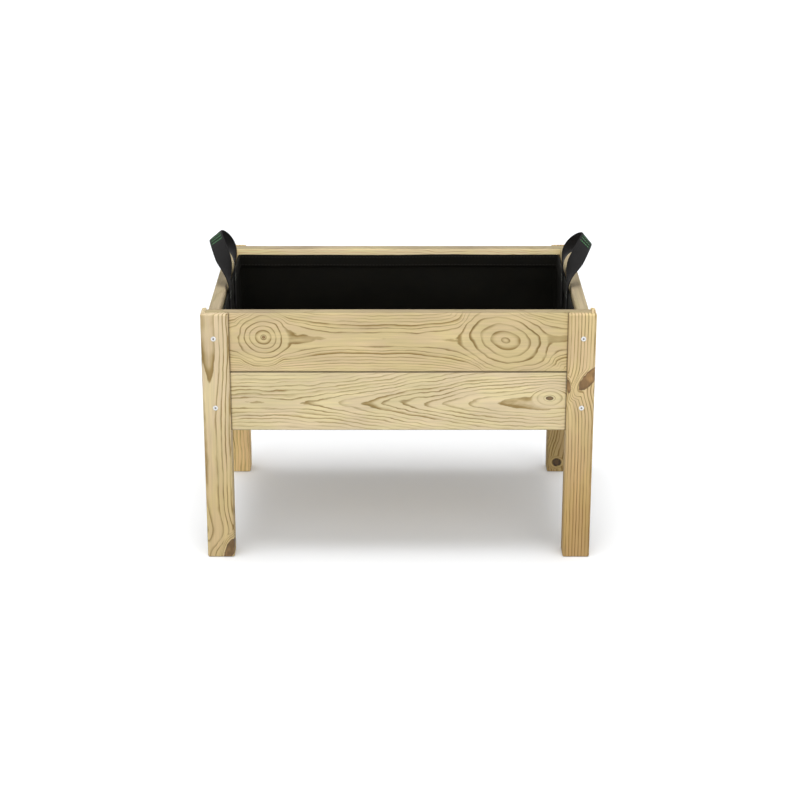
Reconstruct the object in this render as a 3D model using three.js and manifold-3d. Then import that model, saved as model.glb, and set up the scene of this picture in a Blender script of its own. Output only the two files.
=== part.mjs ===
// Raised wooden planter on four legs: two courses of pine boards screwed to rebated corner legs,
// a slatted floor on two bearers, and a fabric planting bag that lifts out by two webbing handles.
// Millimetres, +Z up, the front faces -Y, origin on the ground under the middle of the planter.
import * as THREE from 'three';
import { mergeVertices } from 'three/addons/utils/BufferGeometryUtils.js';
import Module from 'manifold-3d';

const wasm = await Module();
wasm.setup();

// Overall sizes, over the legs
const planterWidth = 600;
const planterDepth = 400;
const planterHeight = 400;

// Pine boards
const boardHeight = 95;
const boardThickness = 18;
const boardArris = 2.5; // radius worn onto each long edge
const boardEndEase = 0.8; // small bevel at the sawn ends
const sideBoardSetIn = 3; // how far the side boards stand in from the ends of the long boards

// Corner legs, square below and cut to an angle where the boards sit
const legWidth = 42;
const legDepth = 36;
const legArris = 3.5;
const legEndEase = 2.4;
const frontCheek = 8; // wood left in front of the long board
const sideCheek = 7; // wood left beside the end of the long board

// Slatted floor
const bearerHeight = 28;
const bearerThickness = 18;
const slatCount = 5;
const slatWidth = 95;
const slatThickness = 18;
const slatEndRoom = 2; // slack between a slat's end and the long board
const slatScrewStagger = 22; // the two screws of a slat lie on a diagonal

// Countersunk wood screws
const legScrewLength = 60;
const bearerScrewLength = 32;
const slatScrewLength = 40;
const screwShank = 4;
const screwHead = 8;
const screwHeadRim = 0.5;
const screwTip = 5;
const screwSocket = 3;
const screwSocketDepth = 1.6;
const screwOffCentre = 8; // leg screws sit this far from a board's middle, away from the joint between courses
const bearerScrewInset = 60;
const bearerScrewCount = 3;

// Fabric bag
const fabric = 1.6;
const bagRoom = 1.5; // between the bag and the boards round it
const bagBelowRim = 8; // bag's hem under the top of the boards
const bagCorner = 6;
const hemDepth = 22; // the top of the wall is folded double

// Webbing handles, one sewn inside each end wall
const webbingWidth = 25;
const webbingThickness = 1.6;
const handleSpread = 100; // between the middles of a handle's two ends
const rightHandleRise = 72; // top of the loop over the hem
const leftHandleRise = 77;
const rightHandleLean = 33.5; // how far the top of the loop hangs outwards
const leftHandleLean = 25;
const rightHandlePitch = 50; // tilt of the webbing across the top of the loop, degrees
const leftHandlePitch = 40;
const handleLeanCurve = 1.65; // above 1, the loop leaves the wall upright and leans more as it rises
const handleTopPinch = 1.3; // above 1, the loop is narrower at its top than an ellipse
const handleShoulder = 0.85; // below 1, the loop rises more steeply from its ends
const handleRearSag = 3; // how far the rear half of a loop falls back towards the bag
const tailLength = 55;
const foldOffset = 0.4; // the fold line lies just inside the webbing's face

// Clearances
const seatGap = 0.3; // between pieces that rest on each other
const screwGap = 0.3; // round a screw in its hole

// Facets
const arrisSteps = 3;
const boardEaseSteps = 1;
const legEaseSteps = 2;
const cornerSteps = 6;
const screwSides = 12;
const loopSteps = 36;

// Worked out from the sizes above
const courseStep = boardHeight + seatGap;
const boxHeight = 2 * boardHeight + seatGap;
const boardsBottom = planterHeight - boxHeight;
const shoulderHeight = boardsBottom - seatGap;
const longBoardLength = planterWidth - 2 * (sideCheek + seatGap);
const longBoardY = planterDepth / 2 - frontCheek - seatGap - boardThickness / 2;
const innerDepth = 2 * longBoardY - boardThickness;
const sideBoardX = longBoardLength / 2 - sideBoardSetIn - boardThickness / 2;
const innerWidth = 2 * sideBoardX - boardThickness;
const sideBoardLength = innerDepth - 2 * seatGap;
const bearerLength = innerWidth - 2 * seatGap;
const bearerY = innerDepth / 2 - seatGap - bearerThickness / 2;
const slatBottom = boardsBottom + bearerHeight + seatGap;
const slatLength = innerDepth - 2 * slatEndRoom;
const slatStep = (innerWidth - slatCount * slatWidth) / (slatCount + 1) + slatWidth;
const bagBottom = slatBottom + slatThickness + seatGap;
const bagTop = planterHeight - bagBelowRim;
const bagWidth = innerWidth - 2 * bagRoom;
const bagDepth = innerDepth - 2 * bagRoom;
const hemThickness = 2 * fabric;
const tailX = bagWidth / 2 - hemThickness - seatGap - webbingThickness / 2;
const foldX = tailX - webbingThickness / 2 - foldOffset;
const screwHeadHeight = screwHeadRim + (screwHead - screwShank) / 2;
const handles = [
  { side: 'right', sideways: 1, rise: rightHandleRise, lean: rightHandleLean, pitch: rightHandlePitch },
  { side: 'left', sideways: -1, rise: leftHandleRise, lean: leftHandleLean, pitch: leftHandlePitch },
];

// Materials
const pine = new THREE.MeshStandardMaterial({ color: 0xd6c49a, roughness: 0.62, metalness: 0 });
const pineInside = new THREE.MeshStandardMaterial({ color: 0xc9b484, roughness: 0.7, metalness: 0 });
const zinc = new THREE.MeshStandardMaterial({ color: 0xe4e2e0, roughness: 0.35, metalness: 0.8 });
const blackFabric = new THREE.MeshStandardMaterial({ color: 0x14120e, roughness: 0.85, metalness: 0 });
const blackWebbing = new THREE.MeshStandardMaterial({ color: 0x282624, roughness: 0.75, metalness: 0 });

// Booleans
function solidOf(geometry) {
  const bare = geometry.index ? geometry.toNonIndexed() : geometry.clone();
  bare.deleteAttribute('normal');
  bare.deleteAttribute('uv');
  const merged = mergeVertices(bare, 1e-4);
  return new wasm.Manifold(new wasm.Mesh({
    numProp: 3,
    vertProperties: merged.attributes.position.array,
    triVerts: new Uint32Array(merged.index.array),
  }));
}

function geometryOf(solid) {
  const mesh = solid.getMesh();
  const geometry = new THREE.BufferGeometry();
  geometry.setAttribute('position', new THREE.BufferAttribute(new Float32Array(mesh.vertProperties), 3));
  geometry.setIndex(new THREE.BufferAttribute(new Uint32Array(mesh.triVerts), 1));
  geometry.computeVertexNormals();
  return geometry;
}

function cut(geometry, cutters) {
  let solid = solidOf(geometry);
  for (const cutter of cutters) solid = solid.subtract(solidOf(cutter));
  return geometryOf(solid);
}

function roundedRectangle(width, height, radius) {
  const x = width / 2;
  const y = height / 2;
  const outline = new THREE.Shape();
  outline.moveTo(-x + radius, -y);
  outline.absarc(x - radius, -y + radius, radius, -Math.PI / 2, 0);
  outline.absarc(x - radius, y - radius, radius, 0, Math.PI / 2);
  outline.absarc(-x + radius, y - radius, radius, Math.PI / 2, Math.PI);
  outline.absarc(-x + radius, -y + radius, radius, Math.PI, 1.5 * Math.PI);
  return outline;
}

// A planed bar along Z, centred, with worn long edges and eased ends.
function planedBar(width, depth, length, arris, endEase, easeSteps) {
  const bar = new THREE.ExtrudeGeometry(roundedRectangle(width, depth, arris), {
    depth: length - 2 * endEase,
    curveSegments: arrisSteps,
    bevelThickness: endEase,
    bevelSize: endEase,
    bevelOffset: -endEase,
    bevelSegments: easeSteps,
  });
  return bar.translate(0, 0, endEase - length / 2);
}

// A board along X with its thickness along Y and its height along Z.
function plank(length, height, thickness) {
  const bar = planedBar(height, thickness, length, boardArris, boardEndEase, boardEaseSteps);
  return bar.rotateY(Math.PI / 2);
}

function block(x0, x1, y0, y1, z0, z1) {
  const box = new THREE.BoxGeometry(x1 - x0, y1 - y0, z1 - z0);
  return box.translate((x0 + x1) / 2, (y0 + y1) / 2, (z0 + z1) / 2);
}

// Revolves a profile of [radius, height] points about Z.
function revolved(profile, sides) {
  const points = profile.map(([radius, height]) => new THREE.Vector2(radius, height));
  return new THREE.LatheGeometry(points, sides).rotateX(Math.PI / 2);
}

// A screw that points down -Z with the face of its head at the origin.
function screwGeometry(length) {
  const shank = screwShank / 2;
  const socket = screwSocket / 2;
  return revolved([
    [0, -length],
    [shank, -length + screwTip],
    [shank, -screwHeadHeight],
    [screwHead / 2, -screwHeadRim],
    [screwHead / 2, 0],
    [socket, 0],
    [socket, -screwSocketDepth],
    [0, -screwSocketDepth],
  ], screwSides);
}

// The hole for that screw, which runs out past the face that the head lies in.
function screwHole(length) {
  const shank = screwShank / 2 + screwGap;
  const head = screwHead / 2 + screwGap;
  return revolved([
    [0, -length - screwGap],
    [shank, -length - screwGap + screwTip],
    [shank, -screwHeadHeight - screwGap],
    [head, -screwHeadRim - screwGap],
    [head, screwHead],
    [0, screwHead],
  ], screwSides);
}

// Turns a screw or its hole, made pointing down -Z, to point along a horizontal direction.
function pointedAlong(geometry, x, y) {
  const turn = new THREE.Quaternion().setFromUnitVectors(
    new THREE.Vector3(0, 0, -1),
    new THREE.Vector3(x, y, 0),
  );
  return geometry.applyQuaternion(turn);
}

function placed(name, geometry, material, x, y, z) {
  const mesh = new THREE.Mesh(geometry, material);
  mesh.name = name;
  mesh.position.set(x, y, z);
  return mesh;
}

const courses = [
  { name: 'lower', middle: boardsBottom + boardHeight / 2, screwRise: -screwOffCentre },
  { name: 'upper', middle: boardsBottom + courseStep + boardHeight / 2, screwRise: screwOffCentre },
];

// Corners: one leg and its screws, built for the front right and mirrored to the others.
function cornerLeg() {
  const backX = legWidth / 2;
  const backY = legDepth / 2;
  const middleZ = planterHeight / 2;
  const over = legWidth;
  const post = planedBar(legWidth, legDepth, planterHeight, legArris, legEndEase, legEaseSteps);
  const rebate = block(
    -backX - over, backX - sideCheek,
    -backY + frontCheek, backY + over,
    shoulderHeight - middleZ, middleZ + over,
  );
  const screwX = sideBoardX - (planterWidth / 2 - legWidth / 2);
  const holes = courses.map(({ middle, screwRise }) =>
    pointedAlong(screwHole(legScrewLength), 0, 1)
      .translate(screwX, -backY, middle + screwRise - middleZ));
  return cut(post, [rebate, ...holes]);
}

function corner(name, sideways, backwards) {
  const group = new THREE.Group();
  const legX = planterWidth / 2 - legWidth / 2;
  const legY = -(planterDepth / 2 - legDepth / 2);
  group.add(placed('leg_' + name, cornerLeg(), pine, legX, legY, planterHeight / 2));
  for (const { name: course, middle, screwRise } of courses) {
    const screw = pointedAlong(screwGeometry(legScrewLength), 0, 1);
    const screwName = 'leg_screw_' + name + '_' + course;
    group.add(placed(screwName, screw, zinc, sideBoardX, -planterDepth / 2, middle + screwRise));
  }
  group.scale.set(sideways, backwards, 1);
  return group;
}

// Long board: the leg screws pass through both ends, and the lower ones take the bearer's screws.
function longBoard(screwRise, bearerScrews) {
  const board = plank(longBoardLength, boardHeight, boardThickness);
  const legFaceY = -(planterDepth / 2 - longBoardY);
  const holes = [-sideBoardX, sideBoardX].map((x) =>
    pointedAlong(screwHole(legScrewLength), 0, 1).translate(x, legFaceY, screwRise));
  if (bearerScrews) {
    const bearerFaceY = longBoardY - bearerY + bearerThickness / 2;
    const screwZ = bearerHeight / 2 - boardHeight / 2;
    for (const x of bearerScrewXs()) {
      holes.push(pointedAlong(screwHole(bearerScrewLength), 0, -1).translate(x, bearerFaceY, screwZ));
    }
  }
  return cut(board, holes);
}

// Side board: the leg screws end in the end grain at both ends.
function sideBoard(screwRise) {
  const board = plank(sideBoardLength, boardHeight, boardThickness);
  const headX = planterDepth / 2;
  return cut(board, [
    pointedAlong(screwHole(legScrewLength), 1, 0).translate(-headX, 0, screwRise),
    pointedAlong(screwHole(legScrewLength), -1, 0).translate(headX, 0, screwRise),
  ]);
}

function bearerScrewXs() {
  const reach = bearerLength / 2 - bearerScrewInset;
  const step = (2 * reach) / (bearerScrewCount - 1);
  return Array.from({ length: bearerScrewCount }, (_, i) => -reach + i * step);
}

// Slats, each with one screw near each end, on opposite sides of its middle
const slatXs = Array.from({ length: slatCount }, (_, i) => (i - (slatCount - 1) / 2) * slatStep);

// Bearer: runs along a long board, screwed to it from inside, with the slat screws from above.
function bearer() {
  const bar = plank(bearerLength, bearerHeight, bearerThickness);
  const holes = bearerScrewXs().map((x) =>
    pointedAlong(screwHole(bearerScrewLength), 0, -1).translate(x, bearerThickness / 2, 0));
  const slatTop = slatThickness + seatGap + bearerHeight / 2;
  for (const x of slatXs) {
    holes.push(screwHole(slatScrewLength).translate(x + slatScrewStagger, 0, slatTop));
  }
  return cut(bar, holes);
}

function slat() {
  const bar = plank(slatLength, slatWidth, slatThickness).rotateX(Math.PI / 2).rotateZ(Math.PI / 2);
  return cut(bar, [
    screwHole(slatScrewLength).translate(slatScrewStagger, -bearerY, slatThickness / 2),
    screwHole(slatScrewLength).translate(-slatScrewStagger, bearerY, slatThickness / 2),
  ]);
}

function frameGroup() {
  const frame = new THREE.Group();
  frame.add(corner('front_right', 1, 1));
  frame.add(corner('front_left', -1, 1));
  frame.add(corner('rear_right', 1, -1));
  frame.add(corner('rear_left', -1, -1));
  for (const { name, middle, screwRise } of courses) {
    const lower = name === 'lower';
    const front = placed('front_board_' + name, longBoard(screwRise, lower), pine, 0, -longBoardY, middle);
    const rear = placed('rear_board_' + name, longBoard(screwRise, lower), pine, 0, longBoardY, middle);
    rear.rotation.z = Math.PI;
    const left = placed('left_board_' + name, sideBoard(screwRise), pine, -sideBoardX, 0, middle);
    const right = placed('right_board_' + name, sideBoard(screwRise), pine, sideBoardX, 0, middle);
    left.rotation.z = Math.PI / 2;
    right.rotation.z = -Math.PI / 2;
    frame.add(front, rear, left, right);
  }
  return frame;
}

// Half of the floor: one bearer with its screws and the slat screws that go down into it.
function bearerGroup(name) {
  const group = new THREE.Group();
  const bearerZ = boardsBottom + bearerHeight / 2;
  const headZ = slatBottom + slatThickness;
  group.add(placed('bearer_' + name, bearer(), pineInside, 0, -bearerY, bearerZ));
  bearerScrewXs().forEach((x, i) => {
    const screw = pointedAlong(screwGeometry(bearerScrewLength), 0, -1);
    const headY = -bearerY + bearerThickness / 2;
    group.add(placed('bearer_screw_' + name + '_' + (i + 1), screw, zinc, x, headY, bearerZ));
  });
  slatXs.forEach((x, i) => {
    const screw = screwGeometry(slatScrewLength);
    const screwX = x + slatScrewStagger;
    group.add(placed('slat_screw_' + name + '_' + (i + 1), screw, zinc, screwX, -bearerY, headZ));
  });
  return group;
}

function floorGroup() {
  const floor = new THREE.Group();
  const rearHalf = bearerGroup('rear');
  rearHalf.rotation.z = Math.PI;
  floor.add(bearerGroup('front'), rearHalf);
  slatXs.forEach((x, i) => {
    const slatZ = slatBottom + slatThickness / 2;
    floor.add(placed('slat_' + (i + 1), slat(), pineInside, x, 0, slatZ));
  });
  return floor;
}

// An upright block with rounded corners, open space or the outside of the bag.
function bagBlock(width, depth, corner, bottom, top) {
  const outline = roundedRectangle(width, depth, corner);
  const tall = new THREE.ExtrudeGeometry(outline, {
    depth: top - bottom,
    curveSegments: cornerSteps,
    bevelEnabled: false,
  });
  return tall.translate(0, 0, bottom);
}

// Open bag: a single thickness of fabric below, folded double at the hem.
function fabricBag() {
  const height = bagTop - bagBottom;
  const outside = bagBlock(bagWidth, bagDepth, bagCorner, 0, height);
  const inside = bagBlock(
    bagWidth - 2 * fabric, bagDepth - 2 * fabric, bagCorner - fabric,
    fabric, height - hemDepth,
  );
  const mouth = bagBlock(
    bagWidth - 2 * hemThickness, bagDepth - 2 * hemThickness, bagCorner - hemThickness,
    fabric, height + hemDepth,
  );
  return cut(outside, [inside, mouth]);
}

// Closed band from rings of four corners, in order round the webbing.
function band(rings) {
  const positions = rings.flat().flatMap((corner) => corner.toArray());
  const faces = [0, 2, 1, 0, 3, 2];
  for (let i = 0; i + 1 < rings.length; i += 1) {
    for (let side = 0; side < 4; side += 1) {
      const a = 4 * i + side;
      const b = 4 * i + ((side + 1) % 4);
      faces.push(a, b, b + 4, a, b + 4, a + 4);
    }
  }
  const last = 4 * (rings.length - 1);
  faces.push(last, last + 1, last + 2, last, last + 2, last + 3);
  const geometry = new THREE.BufferGeometry();
  geometry.setAttribute('position', new THREE.Float32BufferAttribute(positions, 3));
  geometry.setIndex(faces);
  geometry.computeVertexNormals();
  return geometry;
}

// The loop from its fold line at the origin: x outwards, y along the wall, z up. Each end leaves the wall
// flat against it and turns a quarter turn on the way up, so that the webbing lies across at the top.
function handleLoop(rise, lean, pitch) {
  const rootX = webbingThickness / 2 + foldOffset;
  const tilt = THREE.MathUtils.degToRad(pitch);
  const across = new THREE.Vector3(-Math.cos(tilt), 0, Math.sin(tilt));
  const middleAt = (angle) => {
    const height = Math.max(Math.sin(angle), 0);
    const apart = -Math.sign(Math.cos(angle)) * Math.abs(Math.cos(angle)) ** handleTopPinch;
    const sag = handleRearSag * Math.max(-Math.sin(2 * angle), 0);
    return new THREE.Vector3(
      rootX + lean * height ** handleLeanCurve - sag,
      (apart * handleSpread) / 2,
      seatGap / 2 + rise * height ** handleShoulder,
    );
  };
  const small = 1e-4;
  const rings = [];
  for (let i = 0; i <= loopSteps; i += 1) {
    const angle = (i / loopSteps) * Math.PI;
    const middle = middleAt(angle);
    const before = i === 0 ? middle : middleAt(angle - small);
    const after = i === loopSteps ? middle : middleAt(angle + small);
    const along = i % loopSteps === 0
      ? new THREE.Vector3(0, 0, i === 0 ? 1 : -1)
      : after.clone().sub(before).normalize();
    const turned = (THREE.MathUtils.smoothstep(Math.sin(angle), 0, 1) * Math.PI) / 2;
    const inwardEdge = new THREE.Vector3(0, Math.cos(angle) >= 0 ? 1 : -1, 0)
      .multiplyScalar(Math.cos(turned))
      .addScaledVector(across, Math.sin(turned));
    inwardEdge.addScaledVector(along, -inwardEdge.dot(along)).normalize();
    const face = along.clone().cross(inwardEdge).normalize();
    const half = inwardEdge.multiplyScalar(webbingWidth / 2);
    const thick = face.multiplyScalar(webbingThickness / 2);
    rings.push([
      middle.clone().add(half).add(thick),
      middle.clone().sub(half).add(thick),
      middle.clone().sub(half).sub(thick),
      middle.clone().add(half).sub(thick),
    ]);
  }
  return band(rings);
}

// The sewn end of a handle, flat on the inside of the end wall below the fold line.
function handleTail() {
  return new THREE.BoxGeometry(webbingThickness, webbingWidth, tailLength);
}

function handleGroup({ side, sideways, rise, lean, pitch }) {
  const group = new THREE.Group();
  const loop = handleLoop(rise, lean, pitch);
  const tailZ = bagTop - seatGap / 2 - tailLength / 2;
  group.add(placed(side + '_handle_loop', loop, blackWebbing, foldX, 0, bagTop));
  const tailY = handleSpread / 2;
  group.add(placed(side + '_handle_tail_front', handleTail(), blackWebbing, tailX, -tailY, tailZ));
  group.add(placed(side + '_handle_tail_rear', handleTail(), blackWebbing, tailX, tailY, tailZ));
  group.scale.x = sideways;
  return group;
}

function bagGroup() {
  const bag = new THREE.Group();
  bag.add(placed('fabric_bag', fabricBag(), blackFabric, 0, 0, bagBottom));
  bag.add(...handles.map(handleGroup));
  return bag;
}

const planter = new THREE.Group();
planter.add(frameGroup(), floorGroup(), bagGroup());

export default planter;
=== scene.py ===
import math
import bpy
from mathutils import Matrix, Vector, noise


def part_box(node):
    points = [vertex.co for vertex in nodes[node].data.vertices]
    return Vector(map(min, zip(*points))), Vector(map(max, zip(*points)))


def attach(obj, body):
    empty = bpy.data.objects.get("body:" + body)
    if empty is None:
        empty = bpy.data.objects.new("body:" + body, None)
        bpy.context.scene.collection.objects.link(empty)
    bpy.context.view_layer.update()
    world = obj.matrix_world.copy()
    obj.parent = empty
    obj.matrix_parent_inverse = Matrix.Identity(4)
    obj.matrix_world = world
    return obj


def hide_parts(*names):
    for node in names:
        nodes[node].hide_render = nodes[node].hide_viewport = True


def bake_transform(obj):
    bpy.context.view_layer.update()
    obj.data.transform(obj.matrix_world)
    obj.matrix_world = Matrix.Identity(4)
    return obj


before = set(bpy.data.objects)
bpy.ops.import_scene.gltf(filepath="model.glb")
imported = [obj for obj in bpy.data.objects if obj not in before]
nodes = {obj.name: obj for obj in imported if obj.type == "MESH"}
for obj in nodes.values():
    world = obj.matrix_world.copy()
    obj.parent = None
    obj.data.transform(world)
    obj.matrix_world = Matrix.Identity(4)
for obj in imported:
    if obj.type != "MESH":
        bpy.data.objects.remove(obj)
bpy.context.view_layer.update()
mm = 0.001
print("frame loaded:", len(nodes), "nodes")


# Small helpers for node trees

def paint(red, green, blue):
    # a colour given 0 to 255, as Blender's linear values
    shares = [part / 255 for part in (red, green, blue)]
    return [s / 12.92 if s <= 0.04045 else ((s + 0.055) / 1.055) ** 2.4 for s in shares] + [1.0]


def join(tree, socket, value):
    if isinstance(value, bpy.types.NodeSocket):
        tree.links.new(value, socket)
    else:
        socket.default_value = value


def calc(tree, operation, *values):
    node = tree.nodes.new("ShaderNodeMath")
    node.operation = operation
    for socket, value in zip(node.inputs, values):
        join(tree, socket, value)
    return node.outputs[0]


def plus(tree, first, second):
    return calc(tree, "ADD", first, second)


def minus(tree, first, second):
    return calc(tree, "SUBTRACT", first, second)


def times(tree, first, second):
    return calc(tree, "MULTIPLY", first, second)


def timesPlus(tree, first, second, third):
    # first times second, plus third
    return calc(tree, "MULTIPLY_ADD", first, second, third)


def divided(tree, first, second):
    return calc(tree, "DIVIDE", first, second)


def larger(tree, first, second):
    return calc(tree, "MAXIMUM", first, second)


def absolute(tree, value):
    return calc(tree, "ABSOLUTE", value)


def move(tree, operation, *values):
    node = tree.nodes.new("ShaderNodeVectorMath")
    node.operation = operation
    for socket, value in zip(node.inputs, values):
        join(tree, socket, value)
    return node.outputs[0]


def ramp(tree, value, low, high, start=0.0, end=1.0):
    node = tree.nodes.new("ShaderNodeMapRange")
    node.interpolation_type = "SMOOTHSTEP"
    for socket, given in zip(node.inputs, (value, low, high, start, end)):
        join(tree, socket, given)
    return node.outputs[0]


def mixed(tree, share, first, second, how="MIX"):
    node = tree.nodes.new("ShaderNodeMix")
    node.data_type = "RGBA"
    node.blend_type = how
    join(tree, node.inputs[0], share)
    join(tree, node.inputs[6], first)
    join(tree, node.inputs[7], second)
    return node.outputs[2]


def bell(tree, away):
    return calc(tree, "EXPONENT", times(tree, times(tree, away, away), -1.0))


def cloud(tree, place, detail=2.0, roughness=0.5):
    node = tree.nodes.new("ShaderNodeTexNoise")
    join(tree, node.inputs["Vector"], place)
    join(tree, node.inputs["Scale"], 1.0)
    join(tree, node.inputs["Detail"], detail)
    join(tree, node.inputs["Roughness"], roughness)
    return node.outputs[0]


def stretched(tree, place, steps, seed):
    # the place in steps of so many millimetres each way, shifted by the seed
    scaled = move(tree, "MULTIPLY", place, [1 / step for step in steps])
    return move(tree, "ADD", scaled, seed)


def parts(tree, vector):
    node = tree.nodes.new("ShaderNodeSeparateXYZ")
    join(tree, node.inputs[0], vector)
    return node.outputs[0], node.outputs[1], node.outputs[2]


def towards(tree, vector, axis):
    # 1 where the vector points along the axis, 0 square to it and -1 against it
    node = tree.nodes.new("ShaderNodeVectorMath")
    node.operation = "DOT_PRODUCT"
    join(tree, node.inputs[0], vector)
    node.inputs[1].default_value = axis
    return node.outputs["Value"]


def placeInMm(tree):
    # the place on the planter, in millimetres
    source = tree.nodes.new("ShaderNodeTexCoord")
    place = move(tree, "SCALE", source.outputs["Object"])
    place.node.inputs["Scale"].default_value = 1 / mm
    return place


def newGroup(name, inputs, outputs):
    # inputs and outputs are labels, listed under their kind
    group = bpy.data.node_groups.new(name, "ShaderNodeTree")
    for way, kinds in (("INPUT", inputs), ("OUTPUT", outputs)):
        for kind, labels in kinds.items():
            for label in labels:
                group.interface.new_socket(label, in_out=way, socket_type="NodeSocket" + kind)
    given = group.nodes.new("NodeGroupInput").outputs
    result = group.nodes.new("NodeGroupOutput").inputs
    return group, given, result


def useGroup(tree, group, values):
    node = tree.nodes.new("ShaderNodeGroup")
    node.node_tree = group
    for label, value in values.items():
        join(tree, node.inputs[label], value)
    return node.outputs


def newMaterial(name, specular=0.5):
    material = bpy.data.materials.new(name)
    material.use_nodes = True
    tree = material.node_tree
    shader = next(node for node in tree.nodes if node.type == "BSDF_PRINCIPLED")
    shader.inputs["Specular IOR Level"].default_value = specular
    return material, tree, shader


def fieldValue(tree, label):
    node = tree.nodes.new("ShaderNodeAttribute")
    node.attribute_name = label
    return node.outputs["Fac"]


def setSurface(tree, shader, colour, roughness, height, strength, distance):
    # strength and distance say how much of a bump the height gives
    join(tree, shader.inputs["Base Color"], colour)
    join(tree, shader.inputs["Roughness"], roughness)
    bump = tree.nodes.new("ShaderNodeBump")
    bump.inputs["Strength"].default_value = strength
    bump.inputs["Distance"].default_value = distance
    join(tree, bump.inputs["Height"], height)
    join(tree, shader.inputs["Normal"], bump.outputs[0])


# Shared effects

# How the rings sway from their even course, in ring widths, from long waves to short ones. The steps
# are the millimetres from one wave to the next, along the grain, across it and into the wood.
ringWaves = [
    {"steps": (190, 60, 60), "detail": 1.0, "amount": 0.75},
    {"steps": (44, 13, 13), "detail": 2.0, "amount": 0.72},
    {"steps": (13, 5, 5), "detail": 3.0, "amount": 0.3},
]
# how the log's middle sways sideways, in millimetres
logWave = {"steps": (46, 32, 32), "detail": 2.0, "amount": 8.0}


def swayed(tree, place, wave, seed):
    value = cloud(tree, stretched(tree, place, wave["steps"], seed), wave["detail"])
    return times(tree, minus(tree, value, 0.5), wave["amount"])


def makeYearRings():
    # counts the year rings across a face; Side and Depth say where the log's middle runs behind it
    group, given, result = newGroup("yearRings", {
        "Vector": ["Place", "Seed"],
        "Float": ["Side", "Bend", "Squeeze", "Depth", "Ring Width", "First", "Last", "Fall From", "Fall To",
                  "Wander"],
    }, {"Float": ["Rings"]})
    tree = group
    u, v, w = parts(tree, given["Place"])
    side = minus(tree, plus(tree, v, given["Bend"]), given["Side"])
    sideways = swayed(tree, given["Place"], logWave, given["Seed"])
    side = timesPlus(tree, sideways, given["Wander"], side)
    side = times(tree, side, larger(tree, given["Squeeze"], 0.08))
    depth = plus(tree, given["Depth"], w)
    squares = plus(tree, times(tree, side, side), times(tree, depth, depth))
    reach = minus(tree, calc(tree, "SQRT", squares), given["Depth"])
    rings = plus(tree, divided(tree, reach, given["Ring Width"]),
                 ramp(tree, u, given["Fall From"], given["Fall To"], given["First"], given["Last"]))
    for wave in ringWaves:
        sway = swayed(tree, given["Place"], wave, given["Seed"])
        rings = timesPlus(tree, sway, given["Wander"], rings)
    join(tree, result["Rings"], rings)
    return group


def makeGrainBend():
    # the grain swings sideways over a stretch of the piece
    group, given, result = newGroup("grainBend", {
        "Vector": ["Place"],
        "Float": ["At", "Reach", "Shift"],
    }, {"Float": ["Bend"]})
    u, _, _ = parts(group, given["Place"])
    away = divided(group, minus(group, u, given["At"]), given["Reach"])
    join(group, result["Bend"], times(group, bell(group, away), given["Shift"]))
    return group


def makeCollar():
    # round a branch the grain opens out: how far it is spread, and how much earlier its rings are
    group, given, result = newGroup("branchCollar", {
        "Vector": ["Place", "Centre"],
        "Float": ["Reach", "Rise", "Spread", "Dip At", "Dip Reach", "Dip"],
    }, {"Float": ["Spread", "Dip"]})
    du, dv, _ = parts(group, move(group, "SUBTRACT", given["Place"], given["Centre"]))
    near = times(group, bell(group, divided(group, du, given["Reach"])),
                 bell(group, divided(group, dv, given["Rise"])))
    join(group, result["Spread"], times(group, near, given["Spread"]))
    u, _, _ = parts(group, given["Place"])
    away = divided(group, minus(group, u, given["Dip At"]), given["Dip Reach"])
    join(group, result["Dip"], times(group, bell(group, away), given["Dip"]))
    return group


# A branch narrows towards the log's middle, over so many millimetres. Past its end its rings soon give
# way to the log's, and the two blend over so many rings.
branchShape = {"depth": 24.0, "narrowing": 0.7, "closing": 7.0, "blend": 1.3, "wobbleSteps": (36, 26, 26),
               "splinterSteps": (9, 4, 4), "splinter": 0.5, "seed": (3.0, 1.0, 4.0)}


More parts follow.
